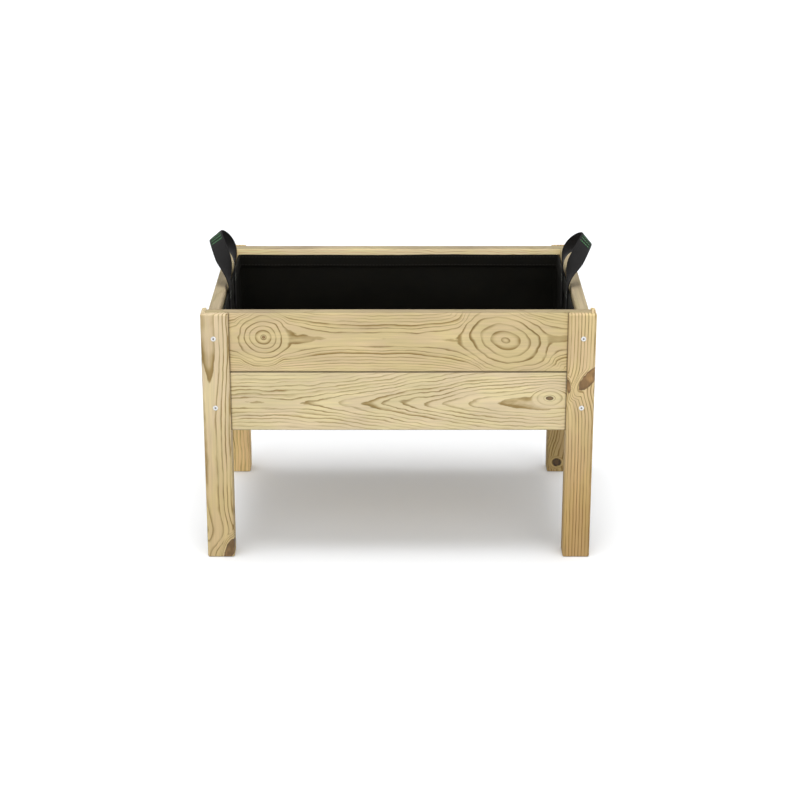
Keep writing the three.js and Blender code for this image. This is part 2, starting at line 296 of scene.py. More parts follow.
def makeKnot():
    # a branch's own rings, merged with those of the log, and its brown core
    group, given, result = newGroup("branchKnot", {
        "Vector": ["Place", "Centre"],
        "Float": ["Rings", "Length", "Breadth", "Turn", "Year", "Growth", "Curve", "End", "Ragged",
                  "Core Size"],
    }, {"Float": ["Rings", "Core", "Rim"]})
    tree = group
    du, dv, depth = parts(tree, move(tree, "SUBTRACT", given["Place"], given["Centre"]))
    cosine = calc(tree, "COSINE", given["Turn"])
    sine = calc(tree, "SINE", given["Turn"])
    along = plus(tree, times(tree, du, cosine), times(tree, dv, sine))
    over = minus(tree, times(tree, dv, cosine), times(tree, du, sine))
    along = divided(tree, along, given["Length"])
    over = divided(tree, over, given["Breadth"])
    squares = plus(tree, times(tree, along, along), times(tree, over, over))
    far = calc(tree, "SQRT", plus(tree, squares, 0.001))
    coarse = stretched(tree, given["Place"], branchShape["wobbleSteps"], branchShape["seed"])
    wobble = cloud(tree, coarse, 1.5)
    wobble = times(tree, minus(tree, wobble, 0.5), given["Ragged"])
    far = timesPlus(tree, far, wobble, far)
    deep = divided(tree, depth, branchShape["depth"])
    narrowing = times(tree, times(tree, deep, deep), branchShape["narrowing"])
    far = timesPlus(tree, far, narrowing, far)
    power = divided(tree, minus(tree, calc(tree, "POWER", far, given["Curve"]), 1.0), given["Curve"])
    own = timesPlus(tree, power, given["Growth"], given["Year"])
    past = larger(tree, minus(tree, far, given["End"]), 0.0)
    own = timesPlus(tree, times(tree, past, past), branchShape["closing"], own)
    join(tree, result["Rings"], calc(tree, "SMOOTH_MIN", given["Rings"], own, branchShape["blend"]))
    fine = stretched(tree, given["Place"], branchShape["splinterSteps"], branchShape["seed"])
    splinter = minus(tree, cloud(tree, fine, 3.0), 0.5)
    splinter = timesPlus(tree, splinter, branchShape["splinter"], 1.0)
    inner = divided(tree, times(tree, far, splinter), given["Core Size"])
    join(tree, result["Core"], ramp(tree, inner, 0.9, 1.0, 1.0, 0.0))
    rim = times(tree, ramp(tree, inner, 0.6, 0.97), ramp(tree, inner, 1.0, 1.25, 1.0, 0.0))
    join(tree, result["Rim"], rim)
    return group


# What planed pine looks like. Steps are millimetres along the grain, across it and into the wood, and
# tones say how much lighter or darker each layer makes it.
pineLook = {
    "patchSteps": (42, 15, 15), "patchTones": (0.5, 1.3),  # stretches where the rings show less or more
    "yearTones": (0.3, 1.0),  # the weakest and the strongest year
    "lateFrom": (0.72, 0.12),  # how far into the year its late wood starts, at the latest and the earliest
    "quietFrom": 20, "quietTo": 46, "quiet": 0.42,  # near the boards' edges the rings show less
    # the joint share is how much painted shade the joints get
    "lineShare": 0.6, "rimShare": 0.7, "jointShadeShare": 0.7,
    "blushSteps": (64, 17, 17), "fibreSteps": (38, 0.9, 0.9), "streakSteps": (110, 4.0, 4.0),
    "blotchSteps": (120, 34, 34), "veinSteps": (9, 1.8, 1.8), "glowSteps": (16, 9, 9),
    # the narrow faces' tone is painted shade: the boards' tops and undersides are darker
    "fibreTone": 0.3, "streakTone": 0.3, "blotchTone": 0.34, "narrowShadeTone": -0.46, "endTone": -0.12,
    "tintAndLightFrom": -150, "tintAndLightTo": 110,  # the foot's tint and painted light pass into the head's between these
    "roughness": 0.64, "lateGloss": -0.1, "fibreRough": 0.14, "knotGloss": -0.14,
}


def makePlaned():
    # planed softwood: pale early wood that darkens to a sharp late line, fibres and blotches over it
    group, given, result = newGroup("planedPine", {
        "Vector": ["Place", "Seed"],
        "Float": ["Rings", "Core", "Rim", "End Grain", "Narrow Shade", "Seam", "Contrast"],
        "Color": ["Early", "Blush", "Late", "Line", "Knot", "Knot Rim", "Head Tint And Light", "Foot Tint And Light"],
    }, {"Color": ["Color"], "Float": ["Roughness", "Height"]})
    tree = group
    look = pineLook
    place, seed = given["Place"], given["Seed"]

    def layer(steps, detail, roughness=0.5):
        return cloud(tree, stretched(tree, place, look[steps], seed), detail, roughness)

    along, over, _ = parts(tree, place)
    season = calc(tree, "FRACT", given["Rings"])
    year = calc(tree, "FLOOR", given["Rings"])
    random = tree.nodes.new("ShaderNodeTexWhiteNoise")
    random.noise_dimensions = "1D"
    join(tree, random.inputs["W"], plus(tree, year, parts(tree, seed)[1]))
    vigour, chance, _ = parts(tree, random.outputs[1])

    # how strongly this year shows here
    weakest, strongest = look["yearTones"]
    strength = timesPlus(tree, vigour, strongest - weakest, weakest)
    strength = times(tree, strength, ramp(tree, layer("patchSteps", 1.0), 0.34, 0.6, *look["patchTones"]))
    strength = times(tree, strength, given["Contrast"])
    aside = absolute(tree, over)
    quiet = ramp(tree, aside, look["quietFrom"], look["quietTo"], 1.0, look["quiet"])
    strength = times(tree, strength, quiet)
    strength = times(tree, strength, ramp(tree, given["Narrow Shade"], 0.0, 1.0, 1.0, 0.5))

    # late wood darkens through the year up to a sharp line
    latest, earliest = look["lateFrom"]
    earliness = times(tree, chance, chance)
    lateFrom = timesPlus(tree, earliness, earliest - latest, latest)
    fade = ramp(tree, season, 0.9, 1.0, 1.0, 0.0)
    late = times(tree, calc(tree, "POWER", ramp(tree, season, lateFrom, 0.97), 1.1), fade)
    late = times(tree, late, strength)
    line = times(tree, times(tree, ramp(tree, season, 0.6, 0.92), fade), strength)
    blush = ramp(tree, layer("blushSteps", 2.0), 0.4, 0.62)
    colour = mixed(tree, blush, given["Early"], given["Blush"])
    colour = mixed(tree, late, colour, given["Late"])
    colour = mixed(tree, times(tree, line, look["lineShare"]), colour, given["Line"])

    # fibres, streaks and blotches, the narrow faces darker as painted shade, and the darker ends
    fibre = layer("fibreSteps", 3.0, 0.6)
    streak = layer("streakSteps", 2.0)
    blotch = layer("blotchSteps", 2.0)
    light = 1.0
    for noisy, tone in ((fibre, "fibreTone"), (streak, "streakTone"), (blotch, "blotchTone")):
        light = timesPlus(tree, minus(tree, noisy, 0.5), look[tone], light)
    light = timesPlus(tree, given["Narrow Shade"], look["narrowShadeTone"], light)
    light = timesPlus(tree, given["End Grain"], look["endTone"], light)
    shade = tree.nodes.new("ShaderNodeCombineColor")
    for socket in shade.inputs[:3]:
        join(tree, socket, light)
    colour = mixed(tree, 1.0, colour, shade.outputs[0], "MULTIPLY")

    # knots, painted shade in the joints, and the piece's tint along its length, which is painted light or
    # shade on some pieces
    vein = ramp(tree, layer("veinSteps", 3.0, 0.6), 0.3, 0.7, 0.0, 0.5)
    glow = ramp(tree, layer("glowSteps", 1.0), 0.4, 0.65, 0.0, 0.55)
    heart = mixed(tree, vein, given["Knot"], given["Line"])
    heart = mixed(tree, glow, heart, given["Knot Rim"])
    colour = mixed(tree, given["Core"], colour, heart)
    colour = mixed(tree, times(tree, given["Rim"], look["rimShare"]), colour, given["Knot Rim"])
    # painted shade along the joints, in the knot rim's dark brown
    colour = mixed(tree, times(tree, given["Seam"], look["jointShadeShare"]), colour, given["Knot Rim"])
    # the head and foot tints: painted light on the rear boards and rear left leg, painted shade at the front
    # legs' feet, elsewhere the wood's own tint
    higher = ramp(tree, along, look["tintAndLightFrom"], look["tintAndLightTo"])
    tintAndLight = mixed(tree, higher, given["Foot Tint And Light"], given["Head Tint And Light"])
    colour = mixed(tree, 1.0, colour, tintAndLight, "MULTIPLY")
    join(tree, result["Color"], colour)

    rough = timesPlus(tree, late, look["lateGloss"], look["roughness"])
    rough = timesPlus(tree, fibre, look["fibreRough"], rough)
    rough = timesPlus(tree, given["Core"], look["knotGloss"], rough)
    join(tree, result["Roughness"], rough)
    relief = timesPlus(tree, late, 0.6, times(tree, fibre, 0.55))
    join(tree, result["Height"], timesPlus(tree, given["Core"], 0.4, relief))
    return group


def makePatches():
    # soft patches of dust, wear or smudges, so many millimetres across
    group, given, result = newGroup("softPatches", {
        "Vector": ["Place", "Seed"],
        "Float": ["Size", "Detail", "Roughness"],
    }, {"Float": ["Patches"]})
    scaled = move(group, "DIVIDE", given["Place"], given["Size"])
    shifted = move(group, "ADD", scaled, given["Seed"])
    join(group, result["Patches"], cloud(group, shifted, given["Detail"], given["Roughness"]))
    return group


def makeWeave():
    # threads over and under each other, so many millimetres from one to the next
    group, given, result = newGroup("plainWeave", {
        "Float": ["Along", "Over", "Along Step", "Over Step"],
    }, {"Float": ["Weave"]})
    waves = []
    for way in ("Along", "Over"):
        turns = divided(group, given[way], given[way + " Step"])
        waves.append(calc(group, "SINE", times(group, turns, 2 * math.pi)))
    join(group, result["Weave"], times(group, waves[0], waves[1]))
    return group


def makeStitchLine():
    # a line of stitches: a narrow band in one direction, broken into dashes in the other
    group, given, result = newGroup("stitchLine", {
        "Float": ["Across", "At", "Half Width", "Along", "Pitch", "Thread Share"],
    }, {"Float": ["Stitches"]})
    away = absolute(group, minus(group, given["Across"], given["At"]))
    full = times(group, given["Half Width"], 0.6)
    band = ramp(group, away, given["Half Width"], full)
    place = calc(group, "FRACT", divided(group, given["Along"], given["Pitch"]))
    middle = absolute(group, minus(group, place, 0.5))
    half = times(group, given["Thread Share"], 0.5)
    dashes = ramp(group, middle, plus(group, half, 0.04), minus(group, half, 0.04))
    join(group, result["Stitches"], times(group, band, dashes))
    return group


yearRings = makeYearRings()
grainBend = makeGrainBend()
branchCollar = makeCollar()
branchKnot = makeKnot()
planedPine = makePlaned()
softPatches = makePatches()
plainWeave = makeWeave()
stitchLine = makeStitchLine()


def patches(tree, place, look):
    values = {"Place": place, **{label.title(): value for label, value in look.items()}}
    return useGroup(tree, softPatches, values)["Patches"]


def woven(tree, along, over, steps):
    given = {"Along": along, "Over": over, "Along Step": steps[0], "Over Step": steps[1]}
    return useGroup(tree, plainWeave, given)["Weave"]


def stitches(tree, style, across, along):
    # all rows of one kind of stitching: across is measured towards the rows, along runs with them
    thread = 0.0
    for row in style["rows"]:
        line = useGroup(tree, stitchLine, {
            "Across": across,
            "At": row,
            "Half Width": style["halfWidth"],
            "Along": along,
            "Pitch": style["pitch"],
            "Thread Share": style["share"],
        })["Stitches"]
        thread = larger(tree, thread, line)
    return thread


# Wood pieces. Each is drawn in its own grain directions: u along the grain, v across the face and
# w out of it, in millimetres from the middle of the face that shows most.
right, back, up = Vector((1, 0, 0)), Vector((0, 1, 0)), Vector((0, 0, 1))
grainFacing = {
    "frontBoard": (right, up, -back),
    "rearBoard": (-right, up, back),
    "leftBoard": (-back, up, -right),
    "rightBoard": (back, up, right),
    "frontLeg": (up, -right, -back),
    "rearLeg": (up, right, back),
    "slat": (back, -right, up),
}

pineColours = {
    "Early": (224, 206, 159),
    "Blush": (224, 203, 163),
    "Late": (172, 146, 91),
    "Line": (140, 114, 62),
    "Knot": (186, 148, 101),
    "Knot Rim": (88, 66, 42),
}

plainPlank = {"facing": "frontBoard", "side": 0, "depth": 16, "ring": 4.5, "first": 3.1, "last": 3.1,
              "fall": (-200, 200), "wander": 1.0, "contrast": 1.0, "head": (1, 1, 1), "foot": (1, 1, 1),
              "knotTone": 1.0, "edgeShade": 1.0, "seamSide": 0, "bends": [], "knots": []}

plainKnot = {"length": 22, "breadth": 15, "turn": 0.0, "year": 1.0, "growth": 1.8, "curve": 0.3, "end": 1.1,
             "ragged": 0.35, "core": 0.2, "reach": 50, "rise": 26, "spread": 1.0, "dipReach": 60, "dip": 0.3,
             "dipShift": 0}

# For each piece: side and depth of the log's middle behind its face, the ring's width, and the rings
# counted there, which fall from first to last over a stretch of its length and give pointed flames.
# Head and foot tint a piece towards one end or the other along its grain. On the rear boards and the rear
# left leg they are painted light, lifting pieces that lie in shade; the front legs' darker feet are painted
# shade; the rear right leg is darker towards its foot; on the rest they are the wood's own tone.
planks = {
    "front_board_upper": {
        "side": 4.5, "depth": 16, "ring": 4.3, "first": 3.105, "last": 3.105, "wander": 0.7, "seamSide": -1,
        "contrast": 1.55, "head": (0.98, 0.97, 0.93), "foot": (0.99, 0.98, 0.95),
        "knots": [
            {"at": (-205, 8), "length": 31, "breadth": 29, "year": 2.25, "growth": 3.9, "curve": 1.0,
             "ragged": 0.34, "core": 0.09, "reach": 62, "rise": 32, "spread": 1.1, "dipReach": 50,
             "dipShift": 40},
            {"at": (163, 3), "length": 56, "breadth": 36, "turn": -0.25, "year": 2, "growth": 3.5,
             "curve": 1.0, "end": 1.05, "core": 0.03, "reach": 80, "rise": 42, "spread": 1.1,
             "dipReach": 85, "dip": 0.38},
        ],
    },
    "front_board_lower": {
        "side": -3, "depth": 9, "ring": 5.4, "first": 9.1, "last": 0.4, "fall": (-177, 205), "wander": 1.2,
        "seamSide": 1, "contrast": 1.2, "head": (1.02, 1.03, 1.04), "foot": (1.02, 1.03, 1.04),
        "knotTone": 0.75,
        "knots": [{"at": (232, 5), "length": 20, "breadth": 12, "year": 0, "growth": 1.6, "reach": 40,
                   "spread": 0.5, "dip": 0.0, "core": 0.3}],
    },
    "rear_board_upper": {
        "facing": "rearBoard", "side": 8, "first": 6.1, "last": 2.2, "fall": (-280, 120), "seamSide": -1,
        "head": (1.17, 1.17, 1.16), "foot": (1.17, 1.17, 1.16), "knotTone": 0.7, "edgeShade": 1.4,
        "knots": [
            {"at": (-150, 6), "length": 24, "breadth": 18, "year": 4, "core": 0.12},
            {"at": (-271, 31), "length": 15, "breadth": 10, "turn": 0.3, "year": 6, "reach": 24, "rise": 16,
             "spread": 0.6, "dip": 0.0, "core": 0.8},
        ],
    },
    "rear_board_lower": {
        "facing": "rearBoard", "side": -8, "first": 1.2, "last": 7.3, "fall": (-120, 280), "seamSide": 1,
        "head": (1.07, 1.07, 1.08), "foot": (1.07, 1.07, 1.08),
        "knots": [{"at": (-205, -14), "length": 18, "breadth": 13, "year": 0, "core": 0.4}],
    },
    "left_board_upper": {
        "facing": "leftBoard", "side": 12, "first": 7.4, "last": 3.1, "fall": (-170, 150), "seamSide": -1,
    },
    "left_board_lower": {
        "facing": "leftBoard", "side": -6, "first": 2.1, "last": 2.1, "seamSide": 1,
        "knots": [{"at": (-60, 8), "length": 24, "breadth": 19, "year": 1, "curve": 0.2, "core": 0.16}],
    },
    "right_board_upper": {
        "facing": "rightBoard", "side": -5, "first": 3.1, "last": 3.1, "seamSide": -1,
        "knots": [{"at": (66, -8), "length": 26, "breadth": 20, "year": 2, "curve": 0.2, "core": 0.3}],
    },
    "right_board_lower": {
        "facing": "rightBoard", "side": 6, "first": 2.2, "last": 7.2, "fall": (-150, 170), "seamSide": 1,
    },
    "leg_front_left": {
        "facing": "frontLeg", "side": 10, "depth": 18, "ring": 4.6, "first": 4.5, "last": 3.35,
        "fall": (20, 155), "wander": 0.45, "contrast": 1.3, "bends": [(-158, 26, 8), (-200, 30, -16)],
        "head": (1.015, 1.015, 1.03), "foot": (0.955, 0.93, 0.87),
        "knotTone": 0.84,
        "knots": [{"at": (-187, -15), "length": 22, "breadth": 8.5, "turn": -0.4, "year": 2.5, "growth": 1.6,
                   "spread": 0.0, "dip": 0.0, "core": 0.95}],
    },
    "leg_front_right": {
        "facing": "frontLeg", "side": -60, "depth": 10, "ring": 5.0, "first": 0.3, "last": 0.3,
        "wander": 0.2, "contrast": 1.7, "bends": [(78, 26, -9)],
        "head": (1.01, 0.985, 0.945), "foot": (0.855, 0.775, 0.64),
        "knots": [
            {"at": (97, -12), "length": 27, "breadth": 10.5, "turn": -0.62, "year": 8, "growth": 1.6,
             "end": 1.0, "spread": 0.0, "dip": 0.0, "core": 0.85},
            {"at": (85, 19), "length": 14, "breadth": 4, "turn": 0.1, "year": 12, "growth": 1.6,
             "end": 1.0, "spread": 0.0, "dip": 0.0, "core": 0.8},
        ],
    },
    "leg_rear_left": {
        "facing": "rearLeg", "side": -34, "depth": 14, "ring": 5.0, "first": 0.4, "last": 3.6,
        "head": (1.05, 1.02, 0.97), "foot": (1.1, 1.045, 0.94),
    },
    "leg_rear_right": {
        "facing": "rearLeg", "side": 40, "depth": 14, "ring": 4.2, "first": 1.3, "last": 1.3, "contrast": 1.2,
        "head": (0.92, 0.88, 0.8), "foot": (0.82, 0.77, 0.66),
        "knotTone": 0.5,
        "knots": [{"at": (-182, -4), "length": 20, "breadth": 23, "year": 5, "spread": 0.3, "core": 0.9}],
    },
    "bearer_front": {"side": 30, "depth": 24, "head": (0.94, 0.93, 0.9)},
    "bearer_rear": {"facing": "rearBoard", "side": -26, "depth": 30, "head": (0.96, 0.95, 0.92)},
}
for number in range(1, 6):
    planks[f"slat_{number}"] = {
        "facing": "slat", "side": 17 * math.sin(2.3 * number), "depth": 16 + 6 * math.cos(1.7 * number),
        "first": 3.1 + number, "last": 3.1 + (number * 3) % 5, "head": (0.95, 0.94, 0.92),
    }

# which setting each input of the groups takes
ringInputs = {"Side": "side", "Depth": "depth", "Ring Width": "ring", "First": "first", "Last": "last",
              "Wander": "wander"}
collarInputs = {"Reach": "reach", "Rise": "rise", "Spread": "spread", "Dip Reach": "dipReach", "Dip": "dip"}
knotInputs = {"Length": "length", "Breadth": "breadth", "Turn": "turn", "Year": "year", "Growth": "growth",
              "Curve": "curve", "End": "end", "Ragged": "ragged", "Core Size": "core"}

# painted shade along a joint: how many millimetres before the edge it starts, and where it is full
courseShade = (1.6, 0.3)
legShade = (2.9, 0.5)


def picked(settings, inputs):
    return {label: settings[key] for label, key in inputs.items()}


def makeWood(name, count, given):
    plank = {**plainPlank, **given}
    axes = grainFacing[plank["facing"]]
    low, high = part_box(name)
    middle = (low + high) / 2
    half = [(high - low).dot(Vector([abs(part) for part in axis])) / 2 for axis in axes]
    face = middle + axes[2] * half[2]
    material, tree, shader = newMaterial("pine_" + name)
    source = tree.nodes.new("ShaderNodeTexCoord")
    mapping = tree.nodes.new("ShaderNodeMapping")
    mapping.vector_type = "TEXTURE"
    mapping.inputs["Location"].default_value = face
    mapping.inputs["Rotation"].default_value = Matrix(axes).transposed().to_euler()
    mapping.inputs["Scale"].default_value = (mm, mm, mm)
    join(tree, mapping.inputs["Vector"], source.outputs["Object"])
    place = mapping.outputs[0]
    seed = (count * 3.71, count * 1.93, count * 5.17)
    bend = 0.0
    for at, reach, shift in plank["bends"]:
        swing = useGroup(tree, grainBend, {"Place": place, "At": at, "Reach": reach, "Shift": shift})
        bend = plus(tree, bend, swing["Bend"])
    squeeze, dip = 1.0, 0.0
    knots = [{**plainKnot, **part} for part in plank["knots"]]
    for knot in knots:
        collar = useGroup(tree, branchCollar, {
            "Place": place,
            "Centre": (*knot["at"], 0.0),
            "Dip At": knot["at"][0] + knot["dipShift"],
            **picked(knot, collarInputs),
        })
        squeeze = minus(tree, squeeze, collar["Spread"])
        dip = plus(tree, dip, collar["Dip"])
    rings = useGroup(tree, yearRings, {
        "Place": place,
        "Bend": bend,
        "Squeeze": squeeze,
        "Fall From": plank["fall"][0],
        "Fall To": plank["fall"][1],
        "Seed": seed,
        **picked(plank, ringInputs),
    })["Rings"]
    rings = minus(tree, rings, dip)
    core, rim = 0.0, 0.0
    for knot in knots:
        branch = useGroup(tree, branchKnot, {
            "Place": place,
            "Rings": rings,
            "Centre": (*knot["at"], 0.0),
            **picked(knot, knotInputs),
        })
        rings = branch["Rings"]
        core = larger(tree, core, branch["Core"])
        rim = larger(tree, rim, times(tree, branch["Rim"], branch["Core"]))
    normal = source.outputs["Normal"]
    endGrain = ramp(tree, absolute(tree, towards(tree, normal, axes[0])), 0.5, 0.8)
    narrowShade = 0.0
    # painted shade: the boards' narrow faces, tops and undersides, darker than the broad faces, the rear
    # upper board's the most
    if "Leg" not in plank["facing"]:
        narrowShade = ramp(tree, absolute(tree, towards(tree, normal, axes[1])), 0.2, 0.8)
        narrowShade = times(tree, narrowShade, plank["edgeShade"])
    jointShade = 0.0
    if plank["seamSide"]:
        # painted shade where the two courses meet, and on the long boards beside the legs
        u, v, _ = parts(tree, place)
        edge = half[1] / mm
        joint = times(tree, v, plank["seamSide"])
        jointShade = ramp(tree, joint, edge - courseShade[0], edge - courseShade[1])
        if plank["facing"] in ("frontBoard", "rearBoard"):
            aside = absolute(tree, u)
            beside = ramp(tree, aside, boardShows - legShade[0], boardShows - legShade[1])
            jointShade = larger(tree, jointShade, beside)
        jointShade = times(tree, jointShade, ramp(tree, towards(tree, normal, axes[2]), 0.4, 0.7))
    values = {
        "Place": place,
        "Rings": rings,
        "Core": core,
        "Rim": rim,
        "End Grain": endGrain,
        "Narrow Shade": narrowShade,
        "Seam": jointShade,
        "Contrast": plank["contrast"],
        "Seed": seed,
    }
    for label, colour in pineColours.items():
        tone = plank["knotTone"] if "Knot" in label else 1.0
        values[label] = paint(*[part * tone for part in colour])
    for label, tintAndLight in (("Head Tint And Light", plank["head"]), ("Foot Tint And Light", plank["foot"])):
        values[label] = paint(*[255 * part for part in tintAndLight])
    finish = useGroup(tree, planedPine, values)
    setSurface(tree, shader, finish["Color"], finish["Roughness"], finish["Height"], 0.35, 0.0004)
    return material


def setMaterial(obj, material):
    obj.data.materials.clear()
    obj.data.materials.append(material)


# the long boards show between the legs, up to this far from their middle, in millimetres
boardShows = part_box("leg_front_right")[0].x / mm
for count, (name, given) in enumerate(planks.items(), 1):
    setMaterial(nodes[name], makeWood(name, count, given))
print("wood done:", len(planks), "pieces")


# Meshes

def newMesh(name, points, faces, smooth=True):
    mesh = bpy.data.meshes.new(name)
    mesh.from_pydata([tuple(point) for point in points], [], faces)
    mesh.update()
    obj = bpy.data.objects.new(name, mesh)
    bpy.context.scene.collection.objects.link(obj)
    for face in mesh.polygons:
        face.use_smooth = smooth
    return obj


def setField(obj, label, values):
    # a number at each point, which the materials read
    obj.data.attributes.new(label, "FLOAT", "POINT").data.foreach_set("value", values)


# Screws: a countersunk head with a star recess, on the axis of the node that they replace
screw = {"headRadius": 4.0 * mm, "recessRadius": 1.55 * mm, "recessDepth": 1.5 * mm, "recessRings": 3,
         "star": 0.16, "starPoints": 6, "shankRadius": 1.9 * mm, "threadRadius": 2.05 * mm, "pitch": 2.2 * mm,
         "plainShare": 0.3, "tip": 6 * mm, "sides": 36, "bright": (245, 244, 242), "dull": (231, 230, 228),
         "shadow": (140, 138, 134), "metal": 0.45,
         "smudge": {"size": 2.6, "detail": 3.0, "roughness": 0.5, "seed": (1.0, 2.0, 3.0)},
         "spark": {"size": 0.35, "detail": 1.0, "roughness": 0.5, "seed": (5.0, 2.0, 3.0)}}


def makeZinc():
    material, tree, shader = newMaterial("bright_zinc")
    place = placeInMm(tree)
    smudge = patches(tree, place, screw["smudge"])
    spark = patches(tree, place, screw["spark"])
    colour = mixed(tree, ramp(tree, smudge, 0.35, 0.7), paint(*screw["bright"]), paint(*screw["dull"]))
    colour = mixed(tree, fieldValue(tree, "recess"), colour, paint(*screw["shadow"]))
    shader.inputs["Metallic"].default_value = screw["metal"]
    setSurface(tree, shader, colour, ramp(tree, smudge, 0.3, 0.7, 0.28, 0.46), spark, 0.15, 0.0001)
    return material


zinc = makeZinc()


def makeScrew(name):
    low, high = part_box(name)
    size = high - low
    middle = (low + high) / 2
    length = max(size)
    # slat screws face up, and these others to the rear; the rest face the front
    outward = 1.0 if name.startswith(("slat", "leg_screw_rear", "bearer_screw_front")) else -1.0
    along = Vector([outward if part == length else 0.0 for part in size])
    top = middle + along * length / 2
    side = along.orthogonal().normalized()
    other = along.cross(side)
    sides = screw["sides"]
    head, recess, deep = screw["headRadius"], screw["recessRadius"], screw["recessDepth"]
    shank, thread, star = screw["shankRadius"], screw["threadRadius"], screw["star"]
    # each ring's radius, its place along the screw and how much of a star it is
    rings = [(recess * 0.55, -deep, star),
             (recess, -deep * 0.8, star),
             (recess, -0.15 * mm, star),
             (recess * 1.12, -0.02 * mm, star * 0.75),
             (head - 0.45 * mm, -0.02 * mm, 0.0),
             (head - 0.1 * mm, -0.12 * mm, 0.0),
             (head - 0.02 * mm, -0.5 * mm, 0.0),
             (shank, -0.5 * mm - head + shank, 0.0)]
    turn = length * screw["plainShare"]
    rings.append((shank, -turn, 0.0))
    while turn < length - screw["tip"]:
        rings.append((thread, -turn - screw["pitch"] * 0.5, 0.0))
        rings.append((shank * 0.8, -turn - screw["pitch"], 0.0))
        turn += screw["pitch"]
    rings.append((0.1 * mm, -length + 0.05 * mm, 0.0))
    points = [top + along * rings[0][1]]
    for radius, depth, starred in rings:
        for step in range(sides):
            angle = 2 * math.pi * step / sides
            reach = radius * (1 - starred * 0.8 * (1 - math.cos(screw["starPoints"] * angle)))
            spoke = side * math.cos(angle) + other * math.sin(angle)
            points.append(top + along * depth + spoke * reach)
    points.append(top - along * length)
    faces = []
    for step in range(sides):
        after = (step + 1) % sides
        faces.append((0, 1 + step, 1 + after))
        for ring in range(len(rings) - 1):
            base = 1 + ring * sides
            faces.append((base + step, base + sides + step, base + sides + after, base + after))
        base = 1 + (len(rings) - 1) * sides
        faces.append((base + step, len(points) - 1, base + after))
    piece = newMesh(name + "_turned", points, faces)
    inRecess = [1.0] * (1 + screw["recessRings"] * sides)
    inRecess += [0.0] * (len(points) - len(inRecess))
    setField(piece, "recess", inRecess)
    setMaterial(piece, zinc)
    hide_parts(name)
    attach(piece, "frame")


screwNames = [name for name in nodes if "_screw_" in name]
for name in sorted(screwNames):
    makeScrew(name)
print("screws done:", len(screwNames))


# Planting bag: a sewn shell that hangs a little slack inside the boards, with a turned hem and seams
bag = {"fabric": 1.3 * mm, "corner": 6 * mm, "footRound": 5 * mm, "around": 280, "levels": 34, "footSteps": 4,
       "floorRings": 40, "slack": 5.0 * mm, "floorWave": 1.3 * mm, "hem": 22 * mm, "hemThick": 3.1 * mm,
       "hemStart": 3.0 * mm, "rimDip": 3.0 * mm, "rimWave": 1.1 * mm, "endWall": 20 * mm, "strapAt": 50 * mm,
       "strapHalf": 17 * mm, "strapEase": 60 * mm, "strapDown": 75 * mm, "shine": 0.18,
       "dark": (10, 9, 4), "dusty": (20, 18, 11), "thread": (40, 38, 35), "weave": (2.0268, 2.0268),
       "dust": {"size": 24, "detail": 4.0, "roughness": 0.65, "seed": (2.0, 8.0, 1.0)},
       "hemStitches": {"rows": (4.0, 18.0), "halfWidth": 0.75, "pitch": 5.5, "share": 0.62}}
bagLow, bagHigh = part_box("fabric_bag")


def bagLoop(halfWidth, halfDepth, corner, count):
    # places spaced evenly round a rectangle with rounded corners, and the way out at each
    straights = (2 * (halfWidth - corner), 2 * (halfDepth - corner)) * 2
    arc = math.pi * corner / 2
    total = sum(straights) + 4 * arc
    loop = []
    for step in range(count):
        travelled = total * step / count
        start = Vector((-straights[0] / 2, -halfDepth))
        heading = 0.0
        for straight in straights:
            ahead = Vector((math.cos(heading), math.sin(heading)))
            out = Vector((ahead.y, -ahead.x))
            if travelled <= straight:
                loop.append((start + ahead * travelled, out))
                break
            travelled -= straight
            centre = start + ahead * straight - out * corner
            if travelled <= arc:
                swung = Matrix.Rotation(travelled / corner, 2) @ out
                loop.append((centre + swung * corner, swung))
                break
            travelled -= arc
            heading += math.pi / 2
            start = centre + (Matrix.Rotation(math.pi / 2, 2) @ out) * corner
    return loop


def onEndWall(spot):
    return abs(spot.x) > bagHigh.x - bag["endWall"]


def bagSlack(spot, height):
    # how far the wall hangs in from its tight line, between the floor and the hem
    share = (height - bagLow.z) / (bagHigh.z - bagLow.z)
    belly = math.sin(math.pi * min(1.0, max(0.0, share * 1.04))) ** 0.8
    low = noise.noise(Vector((spot.x * 9, spot.y * 9, height * 14)))
    crease = noise.noise(Vector((spot.x * 30 + 4, spot.y * 30, height * 6)))
    hang = bag["slack"] * belly * (0.45 + 0.75 * low + 0.35 * crease)
    rim = bag["rimWave"] * max(0.0, noise.noise(Vector((spot.x * 7, spot.y * 7, 3.0)))) * share ** 4
    if onEndWall(spot) and height > bagHigh.z - bag["strapDown"]:
        # the handles' sewn ends keep the cloth flat
        near = abs(abs(spot.y) - bag["strapAt"]) / bag["strapHalf"]
        flat = min(1.0, max(0.0, near - 1.0))
        hang *= flat
        rim *= flat
    return max(0.0, hang) + rim


def wallPlace(spot, out, height, inset, slack=True):
    # a place on the bag's wall, so far in from its outer face; the rim dips a little between the straps
    deep = bag["hem"] * 1.5
    dip = 0.0
    if height > bagHigh.z - deep:
        aside = abs(abs(spot.y) - bag["strapAt"]) / bag["strapEase"]
        near = min(1.0, aside) if onEndWall(spot) else 1.0
        wave = 0.6 + 0.4 * noise.noise(Vector((spot.x * 8, spot.y * 8, 9.0)))
        dip = bag["rimDip"] * near * wave * (height - bagHigh.z + deep) / deep
    inward = inset + (bagSlack(spot, height) if slack else 0.0)
    place = spot - out * inward
    return Vector((place.x, place.y, height - dip))


